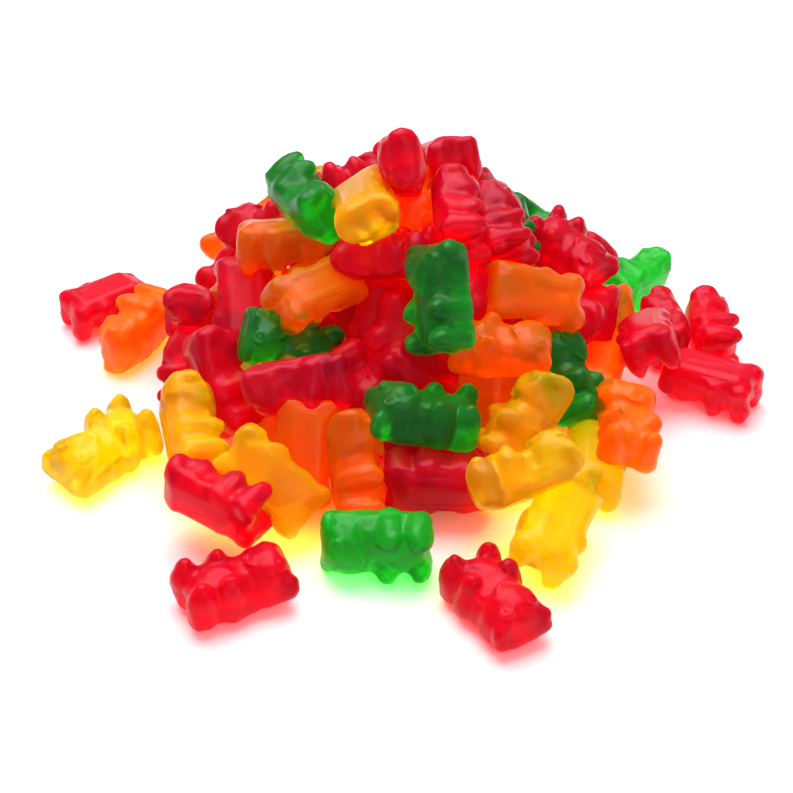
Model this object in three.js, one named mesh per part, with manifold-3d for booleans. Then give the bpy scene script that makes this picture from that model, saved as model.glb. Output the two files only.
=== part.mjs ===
// A loose heap of moulded gummy bears on a bare surface, with a few bears lying clear of it.
// Millimetres, +Z up. The origin is the middle of the flat underside, on the surface that the
// sweets lie on. -Y is the front of the heap and +X its right.
//
// The heap is one solid: a domed core with every outer bear fused on at true size. Each bear
// that lies clear of the heap is a solid of its own.

import * as THREE from 'three';
import { mergeVertices } from 'three/addons/utils/BufferGeometryUtils.js';
import Module from 'manifold-3d';

// ---- driving dimensions -------------------------------------------------------------------

const BEAR_LENGTH = 21;        // ear tips to toes
const BEAR_WIDTH = 12.6;       // across the ears
const BEAR_DEPTH = 10.8;       // flat mould face to the tips of the paws

const HEAP_HEIGHT = 51;        // of the outer surface at the top
const HEAP_HALF_WIDTH = 50;    // to the left and right
const HEAP_HALF_DEPTH = 54;    // to the front and back
const HEAP_MIDDLE = new THREE.Vector2(2, 16);
const HEAP_BULGE = 1.5;        // 2 makes the heap a paraboloid, 1 a cone
const CORE_DEPTH = 8.5;        // how far the core stays inside the outer surface

const VIEW_DROP = 38;          // degrees that the front view looks down
const VIEW_DISTANCE = 435;     // from the eye to the middle of the front view

const CONTACT_SLACK = 0.35;    // how far two soft bears press into each other
const SETTLING_STEPS = 140;
const CLEAR_GAP = 2;           // room that the heap leaves round a bear that lies clear
const SEED = 27;

// ---- one bear -------------------------------------------------------------------------------
// A bear's own axes: +Z runs to the head, -Y to the face and paws, and the flat face that was
// the open side of the mould is its back, at +Y.

const HALF = BEAR_LENGTH / 2;
const SIDE = BEAR_WIDTH / 2;
const BACK = BEAR_DEPTH * 0.46;

// Rings from the toes to the top of the head. Each has its height, its half width, how far the
// front corners reach (feet, hands, cheeks), and how far the middle of the front does (belly,
// snout). All are shares of the bear's half length, half width and depth.
const BEAR_RINGS = [
  { at: -0.98, wide: 0.62, corner: 0.24, middle: 0.06, back: 0.80 },
  { at: -0.74, wide: 0.94, corner: 0.52, middle: 0.22, back: 1.00 },
  { at: -0.49, wide: 0.82, corner: 0.26, middle: 0.37, back: 1.00 },
  { at: -0.23, wide: 0.95, corner: 0.48, middle: 0.34, back: 1.00 },
  { at: 0.03, wide: 0.84, corner: 0.24, middle: 0.30, back: 1.00 },
  { at: 0.28, wide: 0.92, corner: 0.28, middle: 0.50, back: 1.00 },
  { at: 0.64, wide: 0.98, corner: 0.34, middle: 0.38, back: 1.00 },
  { at: 0.92, wide: 0.92, corner: 0.20, middle: 0.16, back: 0.84 },
];
const EAR_RISE = 0.09;         // of the half length, at the corners of the top ring

// The corners of a ring from the middle of the front round to the back. The other side mirrors
// them. A bear in the heap has few sides, a bear that lies clear has more.
const SECTION_CORNERS = {
  middle: (ring) => ({ x: 0, y: -BEAR_DEPTH * ring.middle }),
  corner: (ring) => ({ x: SIDE * 0.72 * ring.wide, y: -BEAR_DEPTH * ring.corner }),
  side: (ring) => ({ x: SIDE * ring.wide, y: -BEAR_DEPTH * 0.02 }),
  back: (ring) => ({ x: SIDE * 0.92 * ring.wide, y: BACK * ring.back }),
};
const FEW_SIDES = ['middle', 'corner', 'back'];
const MORE_SIDES = ['middle', 'corner', 'side', 'back'];

// A closed cylinder whose rings are drawn out to the bear's sections.
function bearGeometry(cornerNames) {
  const rows = BEAR_RINGS.length - 1;
  const sides = 2 * cornerNames.length - 1;
  const tube = new THREE.CylinderGeometry(1, 1, rows, sides, rows);
  const place = tube.attributes.position;
  for (let i = 0; i < place.count; i += 1) {
    const ring = BEAR_RINGS[Math.round(place.getY(i) + rows / 2)];
    const middle = Math.hypot(place.getX(i), place.getZ(i)) < 0.5;
    const turn = Math.round((sides * Math.atan2(place.getX(i), place.getZ(i))) / (2 * Math.PI));
    const corner = SECTION_CORNERS[cornerNames[Math.abs(turn)]](ring);
    const ear = ring === BEAR_RINGS[rows] && turn !== 0 ? EAR_RISE : 0;
    if (middle) {
      place.setXYZ(i, 0, 0, HALF * ring.at);
    } else {
      place.setXYZ(i, Math.sign(turn) * corner.x, corner.y, HALF * (ring.at + ear));
    }
  }
  return tube;
}

// Balls that stand for a bear while the heap settles: two each for head, chest and hips.
const SETTLING_BALLS = [-1, 1].flatMap((side) => [
  { x: side * 2.2, y: 0, z: 5.6, r: 4.9 },
  { x: side * 1.9, y: 0, z: -0.6, r: 4.7 },
  { x: side * 2.0, y: 0, z: -6.3, r: 4.5 },
]);

// ---- where the bears lie --------------------------------------------------------------------
// "across" and "up" are millimetres in the front view, from its middle. "out" lifts a bear
// towards the eye from the heap's surface. "head" is the way the head points in that view,
// anticlockwise from the right. "roll" is 0 with the face and paws to the eye and 180 with the
// flat back to it; 90 turns the face clockwise of the head. "tip" leans the head to the eye.
// "size" is a share of the ordinary bear, since no two came out of the mould alike.

const bear = (across, up, out, head, roll, tip = 0, size = 1) => (
  { across, up, out, head, roll, tip, size }
);

const HEAP_BEARS = [
  // the top
  bear(-2, 43.6, 4, 92, -88, 88, 0.9),
  bear(-7.5, 42.4, -9, 20, -90, -30),
  bear(-15.4, 38.6, 1, -50, -90, 55),
  bear(-5, 38.6, 3, -80, -160, 70),
  bear(4.6, 41, -6, 95, 15, -40),
  bear(7.8, 45, -3, 182, -100, -78, 0.88),
  bear(12.4, 35.6, 2, 95, 90, -45, 0.92),
  bear(20.2, 30.8, 1, 100, 80, -45, 0.92),
  bear(21.8, 32.2, -6, 100, 90, -45),
  bear(13.4, 24.8, -2, 85, 180, -40),
  bear(-25, 33, -10, 180, 90, -20),
  bear(-21, 29.6, 1, 0, 105),
  bear(-1.4, 27, 0, 180, 80, -25, 0.92),
  // the right shoulder
  bear(32, 28.4, 2, -40, -40, 30, 0.94),
  bear(34.4, 27.6, -5, 150, 180, -60),
  bear(33.4, 18, -4, -10, 180),
  bear(25.8, 20, 2, 170, -165, 25, 0.92),
  bear(17.5, 21.5, -7, 90, 90),
  bear(30, 14.5, -7, 0, 90),
  // the left shoulder
  bear(-29, 25, -12, 42, 180),
  bear(-32.6, 19.4, -8, 60, 180, -50),
  bear(-34.8, 12.8, -9, 130, 180, -50, 0.8),
  bear(-36.6, 16, -1, 90, 0, 72, 0.86),
  bear(-32, 16.8, 1, 92, 180, -20),
  bear(-15, 21.2, 1, 25, 165, -35, 0.9),
  bear(-12, 24.2, -4, 10, 90),
  // the middle
  bear(8.2, 19.8, 4, 95, -50),
  bear(21.4, 9.6, 1, -5, -50, 0, 0.94),
  bear(19.8, 6.8, -5, -15, 180),
  bear(-21.2, 10.4, 2, 165, 30, 15, 0.96),
  bear(-4, 14.2, -6, 75, 180),
  bear(-2.3, 4.2, -4, 225, 60),
  bear(-18, -2.2, 4, 190, -90),
  bear(-34.8, 3.2, 1, 112, 110),
  bear(-41, 5.4, -1, 95, -90, -40),
  bear(4, -4.4, 3, 175, 60, 10),
  bear(18.4, -0.8, -4, 90, 160),
  // the right skirt
  bear(38, 12, -2, 10, 180, 0, 0.95),
  bear(50.4, 10.8, -1, 80, 150, -70, 0.9),
  bear(39.8, 5.4, 2, 60, 150, -60, 0.94),
  bear(35.8, 4, 3, 110, 60, -15, 0.94),
  bear(44.8, -5.8, -1, 85, 10, -48, 0.92),
  bear(24.6, -1.6, 4, 55, -80),
  bear(39.6, -12, -4, 80, 180, -55, 0.9),
  bear(25.4, -15.6, 5, 20, -100),
  bear(30, -28.6, -3, 62, 180, -38),
  // the left skirt
  bear(-41, -6.6, 0, 105, 110, -35),
  bear(-18.2, -13.6, -5, 85, 180),
  bear(-26.4, -18, 2, -42, 180),
  bear(-34.2, -20, -1.5, 155, 130, -20, 0.95),
  bear(-6.8, -13.8, -2, 95, 80),
  bear(7.8, -17.2, -1, 0, -142),
];

// Bears that lie clear of the heap: "yaw" is the way the head points over the floor,
// anticlockwise from the right, and "roll" is 0 with the paws up and 180 with the back up.
const lone = (name, colour, across, up, yaw, roll, size = 1) => (
  { name, colour, across, up, yaw, roll, size }
);

const LONE_BEARS = [
  lone('bear_front_right', 'red', 19.8, -40, -58, 0, 1.01),
  lone('bear_front_left', 'red', -32.2, -37.2, 25, 0),
  lone('bear_front', 'green', -3.8, -30.4, 178, -90),
  lone('bear_left', 'yellow', -58.6, -10.2, 230, 0, 1.05),
  lone('bear_back_left', 'red', -58.4, 19.2, 35, 180, 0.86),
  lone('bear_middle_left', 'orange', -52, 13.2, 240, 90, 0.94),
  lone('bear_right', 'red', 62.8, 3, 154, 180, 0.92),
  lone('bear_upper_right', 'green', 47.8, 22.8, 50, -80, 0.87),
  lone('bear_back_right', 'red', 53.4, 14, 95, -90, 0.85),
  lone('bear_far_right', 'red', 63, 13.2, 93, 90, 0.88),
];

// The side of the heap away from the front view is covered by rule, and stays out of its sight.
const BACK_POINTS = 58;        // over the whole dome, of which those facing away are used
const BACK_FACING = -0.08;     // cosine to the front view below which a point faces away
const BACK_INSET = 10;         // of their middles inside the heap's outer surface
const SKYLINE_TOP = 37;        // in the front view, the highest that such a bear's middle lies
const SKYLINE_FALL = 0.012;    // off to the sides, times the distance squared
const GOLDEN_TURN = Math.PI * (3 - Math.sqrt(5));

// ---- the heap's surface -----------------------------------------------------------------------

// Height of a dome that lies "inset" inside the heap's outer surface, above x, y.
function domeHeight(x, y, inset) {
  const across = (x - HEAP_MIDDLE.x) / (HEAP_HALF_WIDTH - inset);
  const along = (y - HEAP_MIDDLE.y) / (HEAP_HALF_DEPTH - inset);
  const reach = Math.min(1, Math.hypot(across, along));
  return inset + (HEAP_HEIGHT - 2 * inset) * (1 - reach ** HEAP_BULGE);
}

const SURFACE_INSET = BEAR_DEPTH / 2;
const GRAZE = 6;               // how high over the heap a line of sight may pass for its bear
const STRIDE = 0.25;           // of the search along a line of sight
const radians = THREE.MathUtils.degToRad;

// The three directions of a view that looks down by "drop" degrees from the side "azimuth".
function viewAxes(drop, azimuth = -90) {
  const out = new THREE.Vector3(
    Math.cos(radians(azimuth)) * Math.cos(radians(drop)),
    Math.sin(radians(azimuth)) * Math.cos(radians(drop)),
    Math.sin(radians(drop)),
  );
  const across = new THREE.Vector3(-Math.sin(radians(azimuth)), Math.cos(radians(azimuth)), 0);
  const up = new THREE.Vector3().crossVectors(out, across);
  return { across, up, out };
}

const FRONT_VIEW = viewAxes(VIEW_DROP);
const FLOOR_VIEW = viewAxes(90);

// The ray of the front view through a point of its middle plane.
function frontRay(across, up) {
  const eye = FRONT_VIEW.out.clone().multiplyScalar(VIEW_DISTANCE);
  const target = FRONT_VIEW.across.clone().multiplyScalar(across);
  target.addScaledVector(FRONT_VIEW.up, up);
  return new THREE.Ray(eye, target.sub(eye).normalize());
}

// Where a bear on that ray lies: at the heap's surface, or where the ray passes less than
// "graze" above the heap, or on the floor.
function restingSpot(ray, graze) {
  const spot = ray.at(VIEW_DISTANCE * 0.7, new THREE.Vector3());
  const nearest = { clearance: graze, spot: null };
  let clearance = Infinity;
  while (clearance > 0) {
    spot.addScaledVector(ray.direction, STRIDE);
    clearance = spot.z - domeHeight(spot.x, spot.y, SURFACE_INSET);
    if (spot.z > 2 * SURFACE_INSET && clearance < nearest.clearance) {
      nearest.clearance = clearance;
      nearest.spot = spot.clone();
    }
  }
  return nearest.spot ?? spot;
}

// ---- poses --------------------------------------------------------------------------------------

// The turn of a bear whose head points "head" degrees round in the view given by "axes".
function bearTurn(axes, head, roll, tip) {
  const long = axes.across.clone().multiplyScalar(Math.cos(radians(head)));
  long.addScaledVector(axes.up, Math.sin(radians(head)));
  long.multiplyScalar(Math.cos(radians(tip)));
  long.addScaledVector(axes.out, Math.sin(radians(tip)));
  const level = new THREE.Vector3().crossVectors(long, axes.out).normalize();
  const upright = new THREE.Vector3().crossVectors(level, long);
  const face = upright.multiplyScalar(Math.cos(radians(roll)));
  face.addScaledVector(level, Math.sin(radians(roll)));
  const side = new THREE.Vector3().crossVectors(long, face);
  return new THREE.Matrix4().makeBasis(side, face.clone().negate(), long);
}

function heapPose({ across, up, out, head, roll, tip, size }) {
  const ray = frontRay(across, up);
  const spot = restingSpot(ray, GRAZE);
  spot.addScaledVector(ray.direction, -out);
  return { spot, ray: ray.direction.clone(), turn: bearTurn(FRONT_VIEW, head, roll, tip), size };
}

function lonePose({ across, up, yaw, roll, size }) {
  const ray = frontRay(across, up);
  const spot = restingSpot(ray, 0);
  return { spot, ray: null, turn: bearTurn(FLOOR_VIEW, yaw, roll, 0), size };
}

// A repeatable draw of numbers from 0 to 1.
function drawer(seed) {
  let state = seed;
  return () => {
    state = (Math.imul(state, 1664525) + 1013904223) >>> 0;
    return state / 4294967296;
  };
}

// The height above x, y that the front view doesn't see for the heap in front of it.
function hiddenHeight(x, y) {
  const skyline = SKYLINE_TOP - SKYLINE_FALL * (x - HEAP_MIDDLE.x) ** 2;
  return (skyline - y * Math.sin(radians(VIEW_DROP))) / Math.cos(radians(VIEW_DROP));
}

// Bears on the far side: evenly spread points, each lying along the slope with a drawn heading.
function backPoses() {
  const draw = drawer(SEED);
  const poses = [];
  for (let i = 0; i < BACK_POINTS; i += 1) {
    const reach = Math.sqrt((i + 0.5) / BACK_POINTS);
    const turn = i * GOLDEN_TURN;
    const [head, roll, tip] = [draw() * 360, Math.floor(draw() * 4) * 90, draw() * 30 - 15];
    const x = HEAP_MIDDLE.x + (HEAP_HALF_WIDTH - BACK_INSET) * reach * Math.cos(turn);
    const y = HEAP_MIDDLE.y + (HEAP_HALF_DEPTH - BACK_INSET) * reach * Math.sin(turn);
    const fall = Math.atan((HEAP_HEIGHT / HEAP_HALF_WIDTH) * HEAP_BULGE * reach ** (HEAP_BULGE - 1));
    const axes = viewAxes(90 - THREE.MathUtils.radToDeg(fall), THREE.MathUtils.radToDeg(turn));
    if (axes.out.dot(FRONT_VIEW.out) < BACK_FACING) {
      const height = Math.min(domeHeight(x, y, BACK_INSET), hiddenHeight(x, y));
      const spot = new THREE.Vector3(x, y, Math.max(height, BEAR_DEPTH / 2));
      poses.push({ spot, ray: null, turn: bearTurn(axes, head, roll, tip), size: 1 });
    }
  }
  return poses;
}

// ---- settling -------------------------------------------------------------------------------------
// Bears that overlap push each other apart, and each is drawn back to where it was put. A bear
// of the front view gives way mostly along its line of sight, so the view stays as laid out.
// One that lies clear stays where it is, and the heap gives way to it.

const SIDE_GIVE = 0.35;
const OUTWARD_GIVE = 0.45;
const PUSH_SHARE = 0.3;
const RETURN_SIDEWAYS = 0.12;
const RETURN_ALONG = 0.04;
const RETURN_FREELY = 0.08;

function settle(poses) {
  const homes = poses.map((pose) => pose.spot.clone());
  const balls = poses.flatMap((pose, owner) => SETTLING_BALLS.map((ball) => ({
    owner,
    r: ball.r * pose.size,
    reach: ball.r * pose.size + (pose.clear ? CLEAR_GAP : 0),
    offset: new THREE.Vector3(ball.x, ball.y, ball.z).multiplyScalar(pose.size).applyMatrix4(pose.turn),
  })));
  for (let step = 0; step < SETTLING_STEPS; step += 1) {
    const pushes = poses.map(() => new THREE.Vector3());
    const places = balls.map((ball) => poses[ball.owner].spot.clone().add(ball.offset));
    for (let a = 0; a < balls.length; a += 1) {
      for (let b = a + 1; b < balls.length; b += 1) {
        pushApart(balls[a], balls[b], places[a], places[b], pushes);
      }
    }
    poses.forEach((pose, i) => moveBear(pose, homes[i], pushes[i]));
    balls.forEach((ball) => liftToFloor(poses[ball.owner], ball));
  }
}

function pushApart(ballA, ballB, placeA, placeB, pushes) {
  if (ballA.owner === ballB.owner) {
    return;
  }
  const reach = ballA.reach + ballB.reach - CONTACT_SLACK;
  const apart = placeA.clone().sub(placeB);
  const distance = apart.length();
  if (distance >= reach || distance === 0) {
    return;
  }
  apart.multiplyScalar((PUSH_SHARE * (reach - distance)) / distance);
  pushes[ballA.owner].add(apart);
  pushes[ballB.owner].sub(apart);
}

function moveBear(pose, home, push) {
  if (pose.clear) {
    return;
  }
  const back = home.clone().sub(pose.spot);
  if (pose.ray) {
    const pushAlong = pose.ray.clone().multiplyScalar(push.dot(pose.ray));
    const backAlong = pose.ray.clone().multiplyScalar(back.dot(pose.ray));
    const outwards = push.dot(pose.ray) < 0;
    push.sub(pushAlong).multiplyScalar(SIDE_GIVE);
    push.addScaledVector(pushAlong, outwards ? OUTWARD_GIVE : 1);
    back.sub(backAlong).multiplyScalar(RETURN_SIDEWAYS).addScaledVector(backAlong, RETURN_ALONG);
  } else {
    back.multiplyScalar(RETURN_FREELY);
  }
  pose.spot.add(push).add(back);
}

function liftToFloor(pose, ball) {
  const under = ball.r - (pose.spot.z + ball.offset.z);
  if (under > 0) {
    pose.spot.z += under;
  }
}

// ---- solids ----------------------------------------------------------------------------------------

const wasm = await Module();
wasm.setup();

function solidOf(geometry) {
  const bare = geometry.clone();
  bare.deleteAttribute('normal');
  bare.deleteAttribute('uv');
  const merged = mergeVertices(bare);
  return new wasm.Manifold(new wasm.Mesh({
    numProp: 3,
    vertProperties: new Float32Array(merged.attributes.position.array),
    triVerts: new Uint32Array(merged.index.array),
  }));
}

function geometryOf(solid) {
  const mesh = solid.getMesh();
  const geometry = new THREE.BufferGeometry();
  geometry.setAttribute('position', new THREE.BufferAttribute(mesh.vertProperties, 3));
  geometry.setIndex(new THREE.BufferAttribute(mesh.triVerts, 1));
  geometry.computeVertexNormals();
  return geometry;
}

// A bear in its place, raised where it would reach under the floor.
function placedBear(pose) {
  const geometry = bearGeometry(pose.clear ? MORE_SIDES : FEW_SIDES);
  geometry.scale(pose.size, pose.size, pose.size);
  geometry.applyMatrix4(pose.turn);
  geometry.computeBoundingBox();
  const lowest = geometry.boundingBox.min.z + pose.spot.z;
  const onFloor = pose.clear || lowest < 0;
  geometry.translate(pose.spot.x, pose.spot.y, pose.spot.z - (onFloor ? lowest : 0));
  return geometry;
}

// The dome inside, with a flat underside.
function coreGeometry() {
  const core = new THREE.SphereGeometry(1, 20, 12);
  core.rotateX(Math.PI / 2);
  const place = core.attributes.position;
  for (let i = 0; i < place.count; i += 1) {
    const reach = Math.min(1, 2 * Math.acos(Math.min(1, Math.abs(place.getZ(i)))) / Math.PI);
    const turn = Math.atan2(place.getY(i), place.getX(i));
    const x = HEAP_MIDDLE.x + (HEAP_HALF_WIDTH - CORE_DEPTH) * reach * Math.cos(turn);
    const y = HEAP_MIDDLE.y + (HEAP_HALF_DEPTH - CORE_DEPTH) * reach * Math.sin(turn);
    const top = (HEAP_HEIGHT - CORE_DEPTH) * (1 - reach ** HEAP_BULGE);
    place.setXYZ(i, x, y, place.getZ(i) > 0 ? top : 0);
  }
  return core;
}

// Everything fused, without closed hollows or scraps.
function fuse(solids) {
  const bodies = wasm.Manifold.union(solids).decompose();
  bodies.sort((a, b) => b.volume() - a.volume());
  return bodies[0];
}

// ---- the model ---------------------------------------------------------------------------------------

const COLOURS = {
  red: 0xe0142a,
  orange: 0xff6a10,
  yellow: 0xf2cc08,
  green: 0x1f9c32,
};

const finish = (colour) => new THREE.MeshStandardMaterial({
  color: COLOURS[colour],
  roughness: 0.35,
  metalness: 0,
});

const heapPoses = HEAP_BEARS.map(heapPose).concat(backPoses());
const lonePoses = LONE_BEARS.map((row) => ({ ...lonePose(row), clear: true }));
settle(heapPoses.concat(lonePoses));

const sweets = new THREE.Group();

const heapSolid = fuse([coreGeometry(), ...heapPoses.map(placedBear)].map(solidOf));
const heap = new THREE.Mesh(geometryOf(heapSolid), finish('red'));
heap.name = 'heap';
sweets.add(heap);

LONE_BEARS.forEach((row, i) => {
  const body = new THREE.Mesh(placedBear(lonePoses[i]), finish(row.colour));
  body.name = row.name;
  sweets.add(body);
});

export default sweets;
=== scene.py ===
from math import acos, atan, atan2, cos, degrees, floor, hypot, pi, radians, sin, sqrt

import bpy
import numpy as np
from mathutils import Matrix, Vector


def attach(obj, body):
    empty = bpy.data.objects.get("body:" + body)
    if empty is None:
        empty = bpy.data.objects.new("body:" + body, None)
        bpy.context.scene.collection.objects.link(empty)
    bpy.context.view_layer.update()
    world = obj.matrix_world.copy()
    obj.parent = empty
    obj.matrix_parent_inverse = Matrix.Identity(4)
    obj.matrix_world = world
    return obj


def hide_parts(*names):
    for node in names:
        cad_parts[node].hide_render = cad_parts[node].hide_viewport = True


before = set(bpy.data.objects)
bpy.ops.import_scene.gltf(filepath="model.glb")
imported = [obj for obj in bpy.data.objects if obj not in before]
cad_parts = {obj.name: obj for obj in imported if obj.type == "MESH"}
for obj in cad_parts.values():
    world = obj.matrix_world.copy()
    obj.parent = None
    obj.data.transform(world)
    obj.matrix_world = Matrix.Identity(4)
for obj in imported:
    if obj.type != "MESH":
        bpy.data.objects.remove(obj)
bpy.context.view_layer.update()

# A loose heap of moulded gummy bears, with a few bears lying clear of it. Places are worked out
# in millimetres in the frame of the solids, and meshes are made in metres.
MM = 0.001

# ---- sizes -----------------------------------------------------------------------------------

BEAR_DEPTH = 10.8                  # from the flat mould face to the tips of the paws
BACK = BEAR_DEPTH * 0.46           # the flat mould face, in a bear's own y
RIM = BACK - 0.7                   # where that face rounds over
PAWS = -BEAR_DEPTH * 0.52          # tips of the paws, in y
SIDE = 6.3                         # half the bear's width
TOES = -10.29                      # the ends of the bear, in its own z
EARS = 10.6
LIMB_GAP = 0.5                     # from the middle of the belly to a limb
GRAIN = 0.26                       # of the mesh that fuses a bear's parts
BODY_SMOOTHING = 34                # passes that soften the body
FACE_SMOOTHING = 6                 # and those after its face is on
FINE_TRIANGLES = 12000             # of a bear that lies clear
HEAP_TRIANGLES = 5400              # of one in the heap's outer layer
PLAIN_TRIANGLES = 1100             # of one inside

HEAP_HEIGHT = 51.0                 # of the outer surface at the top
HEAP_HALF_WIDTH = 50.0             # to the left and right
HEAP_HALF_DEPTH = 54.0             # to the front and back
HEAP_MIDDLE = (2.0, 16.0)
HEAP_BULGE = 1.5                   # 2 makes the heap a paraboloid, 1 a cone

VIEW_DROP = 38.0                   # degrees that the front view looks down
VIEW_DISTANCE = 435.0
FRAME_PIXELS = 793
PIXELS_PER_MM = 5                  # at the middle of the front view
FRAME_WIDTH = FRAME_PIXELS / PIXELS_PER_MM
SENSOR = 36.0

# ---- where the bears lie ---------------------------------------------------------------------
# Colour, across, up, out, head, roll, tip, size: millimetres and degrees in the front view, as in
# the part's source. "out" lifts a bear towards the eye; roll 0 turns its paws to the eye. Size is
# a share of the ordinary bear.

HEAP_BEARS = [
    # the top
    ("red", -2, 43.6, 4, 92, -88, 88, 0.9),
    ("red", -7.5, 42.4, -9, 20, -90, -30),
    ("green", -15.4, 38.6, 1, -50, -90, 55),
    ("yellow", -5, 38.6, 3, -80, -160, 70),
    ("orange", 4.6, 41, -6, 95, 15, -40),
    ("red", 7.8, 45, -3, 182, -100, -78, 0.88),
    ("red", 12.4, 35.6, 2, 95, 90, -45, 0.92),
    ("red", 20.2, 30.8, 1, 100, 80, -45, 0.92),
    ("green", 21.8, 32.2, -6, 100, 90, -45),
    ("red", 13.4, 24.8, -2, 85, 180, -40),
    ("red", -25, 33, -10, 180, 90, -20),
    ("orange", -21, 29.6, 1, 0, 105),
    ("red", -1.4, 27, 0, 180, 80, -25, 0.92),
    # the right shoulder
    ("red", 32, 28.4, 2, -40, -40, 30, 0.94),
    ("red", 34.4, 27.6, -5, 150, 180, -60),
    ("red", 33.4, 18, -4, -10, 180),
    ("orange", 25.8, 20, 2, 170, -165, 25, 0.92),
    ("orange", 17.5, 21.5, -7, 90, 90),
    ("red", 30, 14.5, -7, 0, 90),
    # the left shoulder
    ("red", -29, 25, -12, 42, 180),
    ("orange", -32.6, 19.4, -8, 60, 180, -50),
    ("green", -34.8, 12.8, -9, 130, 180, -50, 0.8),
    ("red", -36.6, 16, -1, 90, 0, 72, 0.86),
    ("red", -32, 16.8, 1, 92, 180, -20),
    ("orange", -15, 21.2, 1, 25, 165, -35, 0.9),
    ("orange", -12, 24.2, -4, 10, 90),
    # the middle
    ("green", 8.2, 19.8, 4, 95, -50),
    ("orange", 21.4, 9.6, 1, -5, -50, 0, 0.94),
    ("orange", 19.8, 6.8, -5, -15, 180),
    ("green", -21.2, 10.4, 2, 165, 30, 15, 0.96),
    ("red", -4, 14.2, -6, 75, 180),
    ("red", -2.3, 4.2, -4, 225, 60),
    ("red", -18, -2.2, 4, 190, -90),
    ("red", -34.8, 3.2, 1, 112, 110),
    ("red", -41, 5.4, -1, 95, -90, -40),
    ("green", 4, -4.4, 3, 175, 60, 10),
    ("orange", 18.4, -0.8, -4, 90, 160),
    # the right skirt
    ("orange", 38, 12, -2, 10, 180, 0, 0.95),
    ("red", 50.4, 10.8, -1, 80, 150, -70, 0.9),
    ("orange", 39.8, 5.4, 2, 60, 150, -60, 0.94),
    ("green", 35.8, 4, 3, 110, 60, -15, 0.94),
    ("orange", 44.8, -5.8, -1, 85, 10, -48, 0.92),
    ("yellow", 24.6, -1.6, 4, 55, -80),
    ("yellow", 39.6, -12, -4, 80, 180, -55, 0.9),
    ("yellow", 25.4, -15.6, 5, 20, -100),
    ("yellow", 30, -28.6, -3, 62, 180, -38),
    # the left skirt
    ("yellow", -41, -6.6, 0, 105, 110, -35),
    ("orange", -18.2, -13.6, -5, 85, 180),
    ("yellow", -26.4, -18, 2, -42, 180),
    ("red", -34.2, -20, -1.5, 155, 130, -20, 0.95),
    ("orange", -6.8, -13.8, -2, 95, 80),
    ("red", 7.8, -17.2, -1, 0, -142),
]

# Name, colour, across, up, yaw, roll, size of the bears that lie clear.
LONE_BEARS = [
    ("bear_front_right", "red", 19.8, -40, -58, 0, 1.01),
    ("bear_front_left", "red", -32.2, -37.2, 25, 0),
    ("bear_front", "green", -3.8, -30.4, 178, -90),
    ("bear_left", "yellow", -58.6, -10.2, 230, 0, 1.05),
    ("bear_back_left", "red", -58.4, 19.2, 35, 180, 0.86),
    ("bear_middle_left", "orange", -52, 13.2, 240, 90, 0.94),
    ("bear_right", "red", 62.8, 3, 154, 180, 0.92),
    ("bear_upper_right", "green", 47.8, 22.8, 50, -80, 0.87),
    ("bear_back_right", "red", 53.4, 14, 95, -90, 0.85),
    ("bear_far_right", "red", 63, 13.2, 93, 90, 0.88),
]

# The far side of the heap and its second layer are covered by rule.
BACK_POINTS = 58                   # over the whole dome, of which those facing away are used
BACK_FACING = -0.08                # cosine to the front view below which a point faces away
BACK_INSET = 10.0                  # of their middles inside the heap's outer surface
SKYLINE_TOP = 37.0                 # in the front view, the highest middle of a bear behind
SKYLINE_FALL = 0.012               # off to the sides, times the distance squared
GOLDEN_TURN = pi * (3 - sqrt(5))
MOST_TIP = 15                      # degrees that such a bear leans off the slope
SEED = 27

INNER_POINTS = 40                  # over the whole dome, for the second layer
INNER_INSET = 18.0                 # and how deep their middles lie
INNER_FACING = 2                   # a cosine that every point is below
INNER_LIMIT = 14.0                 # an inner bear pushed out past this depth is left out
CORE_INSET = 22.0                  # of the core's surface inside the heap's
CORE_LUMP = 14.0                   # across the lumps of the core
CORE_RELIEF = 7.0                  # and their height
COLOUR_SHARES = [("red", 0.45), ("orange", 0.70), ("yellow", 0.84), ("green", 1.0)]
INNER_SHARES = [("red", 0.8), ("orange", 1.0)]

SURFACE_INSET = BEAR_DEPTH / 2     # of a bear's middle in the heap's surface
GRAZE = 6.0                        # how high over the heap a line of sight may pass for its bear
SEARCH_START = 0.7                 # of the way from the eye to the middle of the view
STRIDE = 0.25                      # of the search along a line of sight


# Height of a dome that lies "inset" inside the heap's outer surface, above x, y.
def dome_height(x, y, inset):
    across = (x - HEAP_MIDDLE[0]) / (HEAP_HALF_WIDTH - inset)
    along = (y - HEAP_MIDDLE[1]) / (HEAP_HALF_DEPTH - inset)
    reach = min(1, hypot(across, along))
    return inset + (HEAP_HEIGHT - 2 * inset) * (1 - reach ** HEAP_BULGE)


# The directions across, up and out of a view that looks down by "drop" from an azimuth.
def view_axes(drop, azimuth=-90):
    turn, fall = radians(azimuth), radians(drop)
    out = np.array([cos(turn) * cos(fall), sin(turn) * cos(fall), sin(fall)])
    across = np.array([-sin(turn), cos(turn), 0.0])
    return across, np.cross(out, across), out


FRONT_VIEW = view_axes(VIEW_DROP)
FLOOR_VIEW = view_axes(90)


# Where a bear on the line of sight through a point lies: on the heap, or where the line grazes
# it, or on the floor.
def resting_spot(across, up, graze):
    side, rise, out = FRONT_VIEW
    ray = side * across + rise * up - out * VIEW_DISTANCE
    ray = ray / np.linalg.norm(ray)
    spot = out * VIEW_DISTANCE + ray * VIEW_DISTANCE * SEARCH_START
    nearest = None
    least = graze
    clearance = 1.0
    while clearance > 0:
        spot = spot + ray * STRIDE
        clearance = spot[2] - dome_height(spot[0], spot[1], SURFACE_INSET)
        if spot[2] > 2 * SURFACE_INSET and clearance < least:
            least = clearance
            nearest = spot
    return (spot if nearest is None else nearest), ray


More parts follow.
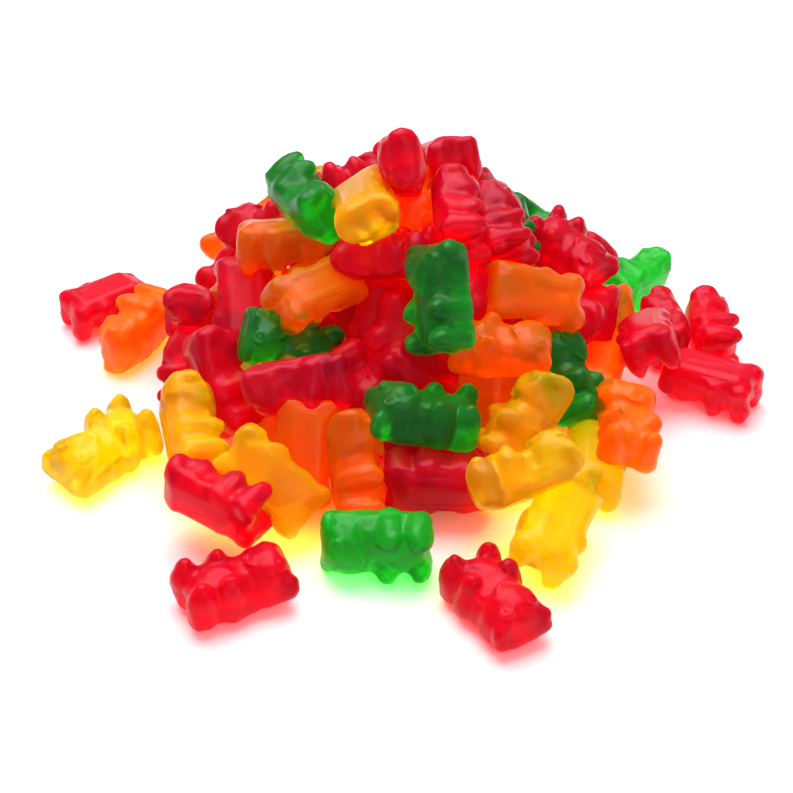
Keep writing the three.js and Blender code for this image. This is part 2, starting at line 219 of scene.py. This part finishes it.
# The turn of a bear whose head points "head" degrees round in a view. Its columns are the
# bear's own side, back and head directions.
def bear_turn(axes, head, roll, tip=0):
    across, up, out = axes
    long = (across * cos(radians(head)) + up * sin(radians(head))) * cos(radians(tip))
    long = long + out * sin(radians(tip))
    level = np.cross(long, out)
    level = level / np.linalg.norm(level)
    upright = np.cross(level, long)
    face = upright * cos(radians(roll)) + level * sin(radians(roll))
    return np.column_stack([np.cross(long, face), -face, long])


DRAW_FACTOR = 1664525
DRAW_STEP = 1013904223
DRAW_RANGE = 2 ** 32


# A repeatable draw of numbers from 0 to 1.
def drawer(seed):
    state = seed
    while True:
        state = (state * DRAW_FACTOR + DRAW_STEP) % DRAW_RANGE
        yield state / DRAW_RANGE


def drawn_colour(draw, shares):
    share = next(draw)
    return next(name for name, upto in shares if share <= upto)


def heap_pose(colour, across, up, out, head, roll, tip=0, size=1):
    spot, ray = resting_spot(across, up, GRAZE)
    turn = bear_turn(FRONT_VIEW, head, roll, tip)
    return {"colour": colour, "spot": spot - ray * out, "ray": ray, "turn": turn, "size": size}


def lone_pose(name, colour, across, up, yaw, roll, size=1):
    spot, _ = resting_spot(across, up, 0)
    turn = bear_turn(FLOOR_VIEW, yaw, roll)
    return {"name": name, "colour": colour, "spot": spot, "ray": None, "turn": turn,
            "size": size, "fixed": True}


# The height above x, y that the front view doesn't see for the heap in front of it.
def hidden_height(x, y):
    skyline = SKYLINE_TOP - SKYLINE_FALL * (x - HEAP_MIDDLE[0]) ** 2
    return (skyline - y * sin(radians(VIEW_DROP))) / cos(radians(VIEW_DROP))


# Bears lying along the slope of a dome at evenly spread points, with drawn headings.
def spread_poses(points, inset, seed, facing):
    draw = drawer(seed)
    poses = []
    for i in range(points):
        reach = sqrt((i + 0.5) / points)
        turn = i * GOLDEN_TURN
        head = next(draw) * 360
        roll = floor(next(draw) * 4) * 90
        tip = next(draw) * 2 * MOST_TIP - MOST_TIP
        x = HEAP_MIDDLE[0] + (HEAP_HALF_WIDTH - inset) * reach * cos(turn)
        y = HEAP_MIDDLE[1] + (HEAP_HALF_DEPTH - inset) * reach * sin(turn)
        fall = atan(HEAP_HEIGHT / HEAP_HALF_WIDTH * HEAP_BULGE * reach ** (HEAP_BULGE - 1))
        axes = view_axes(90 - degrees(fall), degrees(turn))
        if axes[2] @ FRONT_VIEW[2] < facing:
            height = min(dome_height(x, y, inset), hidden_height(x, y))
            spot = np.array([x, y, max(height, BEAR_DEPTH / 2)])
            turned = bear_turn(axes, head, roll, tip)
            poses.append({"spot": spot, "ray": None, "turn": turned, "size": 1})
    return poses


# ---- settling --------------------------------------------------------------------------------
# Bears that overlap push each other apart, and each is drawn back to where it was put. A bear
# of the front view gives way mostly along its line of sight.

# Two balls each stand for a bear's head, chest and hips.
SETTLING_BALLS = [
    (side * x, 0.0, z, r)
    for side in (-1, 1)
    for x, z, r in ((2.2, 5.6, 4.9), (1.9, -0.6, 4.7), (2.0, -6.3, 4.5))
]
CONTACT_SLACK = 0.35               # how far two soft bears press into each other
SETTLING_STEPS = 140
CLEAR_GAP = 2.0                    # room that the heap leaves round a bear that lies clear
SIDE_GIVE = 0.35                   # share of a push that is taken across the line of sight
OUTWARD_GIVE = 0.45                # and of one along it, towards the eye
PUSH_SHARE = 0.3                   # of an overlap that one step pushes apart
RETURN_SIDEWAYS = 0.12             # share of the way home, each step
RETURN_ALONG = 0.04
RETURN_FREELY = 0.08               # of a bear that no view holds


def settle(poses):
    balls = np.array(SETTLING_BALLS)
    count = len(balls)
    owner = np.repeat(np.arange(len(poses)), count)
    radius = np.concatenate([balls[:, 3] * pose["size"] for pose in poses])
    room = np.repeat([CLEAR_GAP if "name" in pose else 0.0 for pose in poses], count)
    reach = (radius + room)[:, None] + (radius + room)[None, :] - CONTACT_SLACK
    offset = np.concatenate([balls[:, :3] @ pose["turn"].T * pose["size"] for pose in poses])
    spots = np.array([pose["spot"] for pose in poses])
    homes = spots.copy()
    fixed = np.array([pose.get("fixed", False) for pose in poses])
    free = np.array([pose["ray"] is None for pose in poses])[:, None]
    rays = np.array([np.zeros(3) if pose["ray"] is None else pose["ray"] for pose in poses])
    others = owner[:, None] != owner[None, :]
    for _ in range(SETTLING_STEPS):
        places = spots[owner] + offset
        apart = places[:, None, :] - places[None, :, :]
        distance = np.sqrt((apart ** 2).sum(axis=2))
        near = others & (distance < reach) & (distance > 0)
        safe = np.where(distance > 0, distance, 1)
        push = np.where(near, PUSH_SHARE * (reach - distance) / safe, 0)[:, :, None] * apart
        pushes = push.sum(axis=1).reshape(len(poses), count, 3).sum(axis=1)
        back = homes - spots
        along = (pushes * rays).sum(axis=1, keepdims=True)
        back_along = (back * rays).sum(axis=1, keepdims=True) * rays
        give = np.where(along < 0, OUTWARD_GIVE, 1.0)
        held_push = (pushes - along * rays) * SIDE_GIVE + along * rays * give
        held_back = (back - back_along) * RETURN_SIDEWAYS + back_along * RETURN_ALONG
        step = np.where(free, pushes + back * RETURN_FREELY, held_push + held_back)
        spots = spots + np.where(fixed[:, None], 0, step)
        under = (radius - (spots[owner, 2] + offset[:, 2])).reshape(len(poses), count).max(axis=1)
        spots[:, 2] += np.maximum(under, 0)
    for pose, spot in zip(poses, spots):
        pose["spot"] = spot


front = [heap_pose(*row) for row in HEAP_BEARS]
behind = spread_poses(BACK_POINTS, BACK_INSET, SEED, BACK_FACING)
lone = [lone_pose(*row) for row in LONE_BEARS]
settle(front + behind + lone)

# The second layer fits itself in under the first, which stays where it is.
inner = spread_poses(INNER_POINTS, INNER_INSET, SEED + 1, INNER_FACING)
for pose in front + behind + lone:
    pose["fixed"] = True
settle(front + behind + lone + inner)
inner = [pose for pose in inner if pose["spot"][2] < dome_height(*pose["spot"][:2], INNER_LIMIT)]
colour_draw = drawer(SEED + 2)
for pose in behind:
    pose["colour"] = drawn_colour(colour_draw, COLOUR_SHARES)
for pose in inner:
    pose["colour"] = drawn_colour(colour_draw, INNER_SHARES)

# ---- tools -----------------------------------------------------------------------------------


def deselect():
    if bpy.context.mode != "OBJECT":
        bpy.ops.object.mode_set(mode="OBJECT")
    bpy.ops.object.select_all(action="DESELECT")


def work_on(piece):
    deselect()
    piece.select_set(True)
    bpy.context.view_layer.objects.active = piece


def apply_modifier(piece, kind, **values):
    work_on(piece)
    modifier = piece.modifiers.new(kind.title(), kind)
    for name, value in values.items():
        setattr(modifier, name, value)
    bpy.ops.object.modifier_apply(modifier=modifier.name)


def copied(model, name):
    piece = model.copy()
    piece.data = model.data.copy()
    piece.name = name
    bpy.context.collection.objects.link(piece)
    return piece


# Presses what reaches under the floor flat.
def flattened_on_floor(piece):
    for vertex in piece.data.vertices:
        vertex.co.z = max(vertex.co.z, 0)
    return piece


def joined(pieces, name):
    deselect()
    for piece in pieces:
        piece.select_set(True)
    bpy.context.view_layer.objects.active = pieces[0]
    if len(pieces) > 1:
        bpy.ops.object.join()
    whole = bpy.context.view_layer.objects.active
    whole.name = name
    whole.data.name = name
    bpy.ops.object.transform_apply(location=True, rotation=True, scale=True)
    return whole


# ---- one bear --------------------------------------------------------------------------------
# Its own axes: +Z runs to the head, -Y to the face, and its flat back lies at +Y.


# Opens a piece for editing with the faces that a rule picks selected.
def pick_faces(piece, rule):
    work_on(piece)
    bpy.ops.object.mode_set(mode="EDIT")
    bpy.ops.mesh.select_mode(type="FACE")
    bpy.ops.mesh.select_all(action="DESELECT")
    bpy.ops.object.mode_set(mode="OBJECT")
    for face in piece.data.polygons:
        face.select = rule(face)
    bpy.ops.object.mode_set(mode="EDIT")


# A block with rounded edges that narrows from the back to the front. It is given by its base at
# the back (left, right, low, high), the middle and size of its front face, and how far forward
# that face lies.
def lobe(left, right, low, high, front, tip, share, round_by, back=BACK):
    deselect()
    middle = Vector(((left + right) / 2, (front + back) / 2, (low + high) / 2))
    bpy.ops.mesh.primitive_cube_add(size=1, location=middle * MM)
    block = bpy.context.object
    block.scale = Vector((right - left, back - front, high - low)) * MM
    bpy.ops.object.transform_apply(location=False, rotation=False, scale=True)
    pick_faces(block, lambda face: face.normal.y < -0.5)
    bpy.ops.transform.resize(value=(share[0], 1, share[1]))
    shift = Vector((tip[0] - middle.x, 0, tip[1] - middle.z)) * MM
    bpy.ops.transform.translate(value=shift)
    bpy.ops.object.mode_set(mode="OBJECT")
    apply_modifier(block, "BEVEL", width=round_by * MM, segments=5, limit_method="NONE")
    return block


# A rounded lump, which is fused into the bear.
def lump(place, radii):
    deselect()
    bpy.ops.mesh.primitive_uv_sphere_add(
        segments=32, ring_count=16, radius=1, location=Vector(place) * MM,
        scale=Vector(radii) * MM)
    return bpy.context.object


# A raised ring, half sunk in the face.
def ring(place, radius, thickness, lean):
    deselect()
    bpy.ops.mesh.primitive_torus_add(
        major_segments=32, minor_segments=12, major_radius=radius * MM,
        minor_radius=thickness * MM, location=Vector(place) * MM,
        rotation=[radians(angle) for angle in lean])
    return bpy.context.object


# Fuses what is joined into one skin and softens it.
def fused(parts, name, passes):
    whole = joined(parts, name)
    apply_modifier(whole, "REMESH", mode="VOXEL", voxel_size=GRAIN * MM)
    apply_modifier(whole, "SMOOTH", factor=0.5, iterations=passes)
    return whole


def make_bear():
    parts = [
        lobe(-5.5, 5.5, -9.5, 9.6, -1.4, (0, 0), (0.9, 0.93), 3.4),                      # back
        lobe(-6.1, 6.1, 0.8, 10.4, -3.9, (0, 5.3), (0.78, 0.78), 2.8, RIM),              # head
        lobe(-5.7, 5.7, -9.0, 3.4, -3.7, (0, -2.6), (0.74, 0.88), 2.4, RIM),             # trunk
        lump((0, -0.6, -4.3), (4.6, 4.0, 5.2)),                                          # belly
        lump((0, -1.9, 4.8), (5.0, 3.2, 4.1)),                                           # cheeks
    ]
    for side in (-1, 1):
        near, far = sorted((side * LIMB_GAP, side * SIDE))
        parts += [
            lobe(near, far, -5.1, 0.1, -4.0, (side * 3.6, -2.3), (0.74, 0.82), 2.1, RIM),    # arm
            lobe(near, far, -10.3, -5.1, -4.0, (side * 3.5, -7.8), (0.76, 0.82), 2.1, RIM),  # leg
            lump((side * 3.75, -1.2, -2.2), (2.2, 4.4, 2.4)),                                # paw
            lump((side * 3.55, -1.2, -7.9), (2.3, 4.4, 2.4)),                                # foot
            lump((side * 4.3, 0.7, 8.3), (1.8, 3.0, 1.9)),                                   # ear
        ]
    body = fused(parts, "body", BODY_SMOOTHING)
    face = [
        body,
        lump((0, -3.2, 3.9), (3.0, 1.8, 2.4)),          # snout
        ring((0, -4.35, 3.9), 2.1, 0.36, (86, 0, 0)),   # and its rim
        lump((0, -4.8, 4.6), (0.9, 0.4, 0.6)),          # nose
    ]
    for side in (-1, 1):
        face += [
            ring((side * 2.6, -3.85, 7.0), 1.15, 0.3, (72, 0, side * 16)),    # eye's rim
            lump((side * 2.6, -3.75, 7.0), (0.5, 0.5, 0.5)),                  # eye
        ]
    bear = fused(face, "bear", FACE_SMOOTHING)
    fit_to_mould(bear)
    return bear


# Brings the bear to the mould's exact size.
def fit_to_mould(bear):
    low, high = Vector((-SIDE, PAWS, TOES)) * MM, Vector((SIDE, BACK, EARS)) * MM
    places = np.array([vertex.co for vertex in bear.data.vertices])
    least, most = places.min(axis=0), places.max(axis=0)
    grown = Matrix.Diagonal([*[(high[i] - low[i]) / (most[i] - least[i]) for i in range(3)], 1])
    bear.data.transform(Matrix.Translation(low) @ grown @ Matrix.Translation(-Vector(least)))


# A copy of a bear with about so many triangles.
def simpler(model, name, triangles):
    bear = copied(model, name)
    faces = sum(len(face.vertices) - 2 for face in bear.data.polygons)
    apply_modifier(bear, "DECIMATE", ratio=triangles / faces, use_collapse_triangulate=True)
    return bear


mould = make_bear()
fine_bear = simpler(mould, "fine_bear", FINE_TRIANGLES)
heap_bear = simpler(mould, "heap_bear", HEAP_TRIANGLES)
plain_bear = simpler(mould, "plain_bear", PLAIN_TRIANGLES)

# ---- setting the bears down ------------------------------------------------------------------

UNEVEN = 0.035                     # how much one bear's size differs from the next
SKEW = 0.03                        # and how much it leans out of true
DENT_SPREAD = 6.0                  # how far apart the dents and lumps of a sweet lie
DENT_DEPTH = 2.0                   # from the deepest dent to the highest lump
shape_draw = drawer(SEED + 3)


# A copy of a bear at its pose, a little out of true, and raised where it would reach under
# the floor.
def set_down(model, pose, name, on_floor=False):
    bear = copied(model, name)
    own = Matrix.Identity(4)
    for i in range(3):
        own[i][i] = pose["size"] * (1 - UNEVEN * next(shape_draw))
    own[0][2] = SKEW * (2 * next(shape_draw) - 1)
    own[1][2] = SKEW * (2 * next(shape_draw) - 1)
    turn = Matrix(pose["turn"].tolist()).to_4x4()
    bear.data.transform(Matrix.Translation(Vector(pose["spot"]) * MM) @ turn @ own)
    lowest = min(vertex.co.z for vertex in bear.data.vertices)
    if on_floor or lowest < 0:
        bear.data.transform(Matrix.Translation((0, 0, -lowest)))
    tone = bear.data.attributes.new("tone", "FLOAT", "POINT")
    tone.data.foreach_set("value", [next(shape_draw)] * len(bear.data.vertices))
    return bear


# The lumps and dents by which no two sweets are alike.
DENTS = bpy.data.textures.new("dents", "CLOUDS")
DENTS.noise_scale = DENT_SPREAD * MM


def dented(piece):
    apply_modifier(piece, "DISPLACE", texture=DENTS, strength=DENT_DEPTH * MM, mid_level=0.5,
                   texture_coords="LOCAL")
    return flattened_on_floor(piece)


def finish_piece(piece, material, slot, *nodes):
    piece.data.materials.clear()
    piece.data.materials.append(material)
    work_on(piece)
    bpy.ops.object.shade_smooth()
    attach(piece, "root")
    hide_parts(*nodes)

# ---- the gummy's finish ----------------------------------------------------------------------

# Scales of patterns are per metre, lengths in millimetres.
CLOUD_SCALE = 160.0                # of the tones that drift through a sweet
DIMPLE_SCALE = 420.0
GRAIN_SCALE = 2600.0
GRAIN_ROUGHNESS = 0.08             # that the grain adds to the gloss
GRAIN_RELIEF = 0.015               # of the grain, as a share of the dimples'
DIMPLE_DEPTH = 0.12
DIMPLE_STRENGTH = 0.3
GELATINE_IOR = 1.34
SHEEN_LEVEL = 0.4
SCATTER_DEPTH = 3.0                # how far light spreads under the skin
SCATTER_SHARES = (1.0, 0.6, 0.5)   # of that depth, for red, green and blue light


# The skin of every sweet: a colour that drifts between body and deep, and a grain and soft
# dimples that break up its shine.
def skin_group():
    group = bpy.data.node_groups.new("gummy_skin", "ShaderNodeTree")
    inputs = [("Body", "NodeSocketColor"), ("Deep", "NodeSocketColor"),
              ("Gloss", "NodeSocketFloat")]
    outputs = [("Color", "NodeSocketColor"), ("Roughness", "NodeSocketFloat"),
               ("Normal", "NodeSocketVector")]
    for name, kind in inputs:
        group.interface.new_socket(name=name, in_out="INPUT", socket_type=kind)
    for name, kind in outputs:
        group.interface.new_socket(name=name, in_out="OUTPUT", socket_type=kind)
    nodes, links = group.nodes, group.links
    taken, given = nodes.new("NodeGroupInput"), nodes.new("NodeGroupOutput")
    place = nodes.new("ShaderNodeTexCoord").outputs["Object"]

    def noise(scale, detail, rough):
        texture = nodes.new("ShaderNodeTexNoise")
        texture.inputs["Scale"].default_value = scale
        texture.inputs["Detail"].default_value = detail
        texture.inputs["Roughness"].default_value = rough
        links.new(place, texture.inputs["Vector"])
        return texture.outputs["Fac"]

    def maths(kind, one, two):
        node = nodes.new("ShaderNodeMath")
        node.operation = kind
        for socket, value in zip(node.inputs, (one, two)):
            if isinstance(value, float):
                socket.default_value = value
            else:
                links.new(value, socket)
        return node.outputs[0]

    cloud = noise(CLOUD_SCALE, 2.0, 0.5)
    tone = nodes.new("ShaderNodeAttribute")
    tone.attribute_name = "tone"
    depth = maths("MULTIPLY", maths("ADD", cloud, tone.outputs["Fac"]), 0.5)
    blend = nodes.new("ShaderNodeMix")
    blend.data_type = "RGBA"
    links.new(depth, blend.inputs["Factor"])
    links.new(taken.outputs["Body"], blend.inputs["A"])
    links.new(taken.outputs["Deep"], blend.inputs["B"])
    links.new(blend.outputs["Result"], given.inputs["Color"])

    grain = noise(GRAIN_SCALE, 3.0, 0.6)
    dimples = noise(DIMPLE_SCALE, 1.0, 0.5)
    dulled = maths("ADD", taken.outputs["Gloss"], maths("MULTIPLY", grain, GRAIN_ROUGHNESS))
    links.new(dulled, given.inputs["Roughness"])
    height = maths("ADD", maths("MULTIPLY", grain, GRAIN_RELIEF), dimples)
    bump = nodes.new("ShaderNodeBump")
    bump.inputs["Strength"].default_value = DIMPLE_STRENGTH
    bump.inputs["Distance"].default_value = DIMPLE_DEPTH * MM
    links.new(height, bump.inputs["Height"])
    links.new(bump.outputs["Normal"], given.inputs["Normal"])
    return group


SKIN = skin_group()


# Clear gelatine: it bends light, filters it ("filtered" is what white light turns to inside, and
# "density" how fast), and throws a tinted shadow.
def gummy(name, body, deep, filtered, density, shadow, sheen, clear=0.64, gloss=0.28):
    material = bpy.data.materials.new(name)
    material.use_nodes = True
    nodes, links = material.node_tree.nodes, material.node_tree.links
    shader = nodes["Principled BSDF"]
    output = nodes["Material Output"]
    skin = nodes.new("ShaderNodeGroup")
    skin.node_tree = SKIN
    skin.inputs["Body"].default_value = (*body, 1)
    skin.inputs["Deep"].default_value = (*deep, 1)
    skin.inputs["Gloss"].default_value = gloss
    links.new(skin.outputs["Color"], shader.inputs["Base Color"])
    links.new(skin.outputs["Roughness"], shader.inputs["Roughness"])
    links.new(skin.outputs["Normal"], shader.inputs["Normal"])
    shader.inputs["IOR"].default_value = GELATINE_IOR
    shader.inputs["Specular IOR Level"].default_value = SHEEN_LEVEL
    shader.inputs["Specular Tint"].default_value = (*sheen, 1)
    shader.inputs["Transmission Weight"].default_value = clear
    shader.inputs["Subsurface Weight"].default_value = 1.0
    shader.inputs["Subsurface Radius"].default_value = SCATTER_SHARES
    shader.inputs["Subsurface Scale"].default_value = SCATTER_DEPTH * MM
    veil = nodes.new("ShaderNodeBsdfTransparent")
    veil.inputs["Color"].default_value = (*shadow, 1)
    path = nodes.new("ShaderNodeLightPath")
    mix = nodes.new("ShaderNodeMixShader")
    links.new(path.outputs["Is Shadow Ray"], mix.inputs["Fac"])
    links.new(shader.outputs["BSDF"], mix.inputs[1])
    links.new(veil.outputs["BSDF"], mix.inputs[2])
    links.new(mix.outputs["Shader"], output.inputs["Surface"])
    inside = nodes.new("ShaderNodeVolumeAbsorption")
    inside.inputs["Color"].default_value = (*filtered, 1)
    inside.inputs["Density"].default_value = density
    links.new(inside.outputs["Volume"], output.inputs["Volume"])
    return material


FINISHES = {
    "red": gummy(
        "gummy_red", body=(0.86, 0.002, 0.046), deep=(0.70, 0.002, 0.032),
        filtered=(0.96, 0.07, 0.24), density=460,
        shadow=(0.97, 0.80, 0.82), sheen=(1.0, 0.40, 0.55)),
    "orange": gummy(
        "gummy_orange", body=(1.0, 0.39, 0.004), deep=(0.98, 0.25, 0.003),
        filtered=(0.99, 0.72, 0.03), density=400,
        shadow=(0.98, 0.88, 0.76), sheen=(1.0, 0.70, 0.55), clear=0.72),
    "yellow": gummy(
        "gummy_yellow", body=(0.90, 0.71, 0.003), deep=(0.88, 0.62, 0.002),
        filtered=(0.98, 0.92, 0.02), density=300,
        shadow=(0.98, 0.96, 0.66), sheen=(1.0, 0.92, 0.50), clear=0.74),
    "green": gummy(
        "gummy_green", body=(0.048, 0.66, 0.080), deep=(0.018, 0.34, 0.04),
        filtered=(0.22, 0.94, 0.32), density=250,
        shadow=(0.60, 0.97, 0.64), sheen=(0.60, 1.0, 0.70), clear=0.82),
}

# ---- the heap --------------------------------------------------------------------------------

for colour in FINISHES:
    sweets = [
        set_down(heap_bear, pose, f"{colour}_{i}")
        for i, pose in enumerate(front + behind) if pose["colour"] == colour
    ]
    sweets += [
        set_down(plain_bear, pose, f"{colour}_inner_{i}")
        for i, pose in enumerate(inner) if pose["colour"] == colour
    ]
    heap_part = joined(sweets, f"{colour}_bears")
    finish_piece(dented(heap_part), FINISHES[colour], f"gummy_{colour}", "heap")

for pose in lone:
    sweet = set_down(fine_bear, pose, pose["name"] + "_sweet", on_floor=True)
    finish_piece(dented(sweet), FINISHES[pose["colour"]], "gummy_" + pose["colour"], pose["name"])


# The sweets at the heart of the heap, as one lumpy mass.
def make_core():
    deselect()
    bpy.ops.mesh.primitive_uv_sphere_add(segments=72, ring_count=36, radius=1, location=(0, 0, 0))
    core = bpy.context.object
    core.name = "heap_core"
    core.data.name = "heap_core"
    for vertex in core.data.vertices:
        x, y, z = vertex.co
        reach = min(1, 2 * acos(min(1, abs(z))) / pi)
        turn = atan2(y, x)
        across = (HEAP_HALF_WIDTH - CORE_INSET) * reach * cos(turn)
        along = (HEAP_HALF_DEPTH - CORE_INSET) * reach * sin(turn)
        top = (HEAP_HEIGHT - CORE_INSET) * (1 - reach ** HEAP_BULGE)
        place = (HEAP_MIDDLE[0] + across, HEAP_MIDDLE[1] + along, top if z > 0 else 0)
        vertex.co = Vector(place) * MM
    lumps = bpy.data.textures.new("core_lumps", "CLOUDS")
    lumps.noise_scale = CORE_LUMP * MM
    apply_modifier(core, "DISPLACE", texture=lumps, strength=CORE_RELIEF * MM, mid_level=0.6,
                   texture_coords="LOCAL")
    return flattened_on_floor(core)


CORE_FINISH = gummy(
    "gummy_core", body=(0.62, 0.05, 0.02), deep=(0.40, 0.01, 0.01),
    filtered=(0.9, 0.1, 0.05), density=200,
    shadow=(1.0, 0.4, 0.35), sheen=(1.0, 0.5, 0.5), clear=0.2, gloss=0.35)
finish_piece(make_core(), CORE_FINISH, "gummy_red", "heap")

for spare in (mould, fine_bear, heap_bear, plain_bear):
    bpy.data.objects.remove(spare)

# ---- floor, light and camera -----------------------------------------------------------------

# Metres here, as the lamps and the floor are far larger than the sweets.
FLOOR_SIZE = 8
FLOOR_PAINT = (0.9, 0.9, 0.9)
FLOOR_ROUGHNESS = 0.9
LIT_POINT = (0, 0.01, 0.01)        # which both lamps face
SKY_STRENGTH = 0.35


def look_at(thing, place, target):
    thing.location = place
    thing.rotation_euler = (Vector(target) - Vector(place)).to_track_quat("-Z", "Y").to_euler()


def soft_light(name, place, size, power):
    lamp = bpy.data.lights.new(name, "AREA")
    lamp.shape = "DISK"
    lamp.size = size
    lamp.energy = power
    thing = bpy.data.objects.new(name, lamp)
    bpy.context.collection.objects.link(thing)
    look_at(thing, place, LIT_POINT)


deselect()
bpy.ops.mesh.primitive_plane_add(size=FLOOR_SIZE, location=(0, 0, 0))
ground = bpy.context.object
ground.name = "floor"
paint = bpy.data.materials.new("floor_paint")
paint.use_nodes = True
coat = paint.node_tree.nodes["Principled BSDF"]
coat.inputs["Base Color"].default_value = (*FLOOR_PAINT, 1)
coat.inputs["Roughness"].default_value = FLOOR_ROUGHNESS
ground.data.materials.append(paint)

soft_light("overhead", (-0.05, 0.22, 0.6), 0.7, 6.5)
soft_light("front_fill", (0.3, -0.6, 0.5), 0.5, 1.2)

world = bpy.data.worlds.new("studio")
world.use_nodes = True
sky = world.node_tree.nodes["Background"]
sky.inputs["Color"].default_value = (1, 1, 1, 1)
sky.inputs["Strength"].default_value = SKY_STRENGTH
bpy.context.scene.world = world
bpy.context.scene.view_settings.view_transform = "Standard"

view = bpy.data.cameras.new("view")
view.sensor_width = SENSOR
view.lens = SENSOR * VIEW_DISTANCE / FRAME_WIDTH
camera = bpy.data.objects.new("view", view)
bpy.context.collection.objects.link(camera)
look_at(camera, Vector(FRONT_VIEW[2]) * VIEW_DISTANCE * MM, (0, 0, 0))
bpy.context.scene.camera = camera
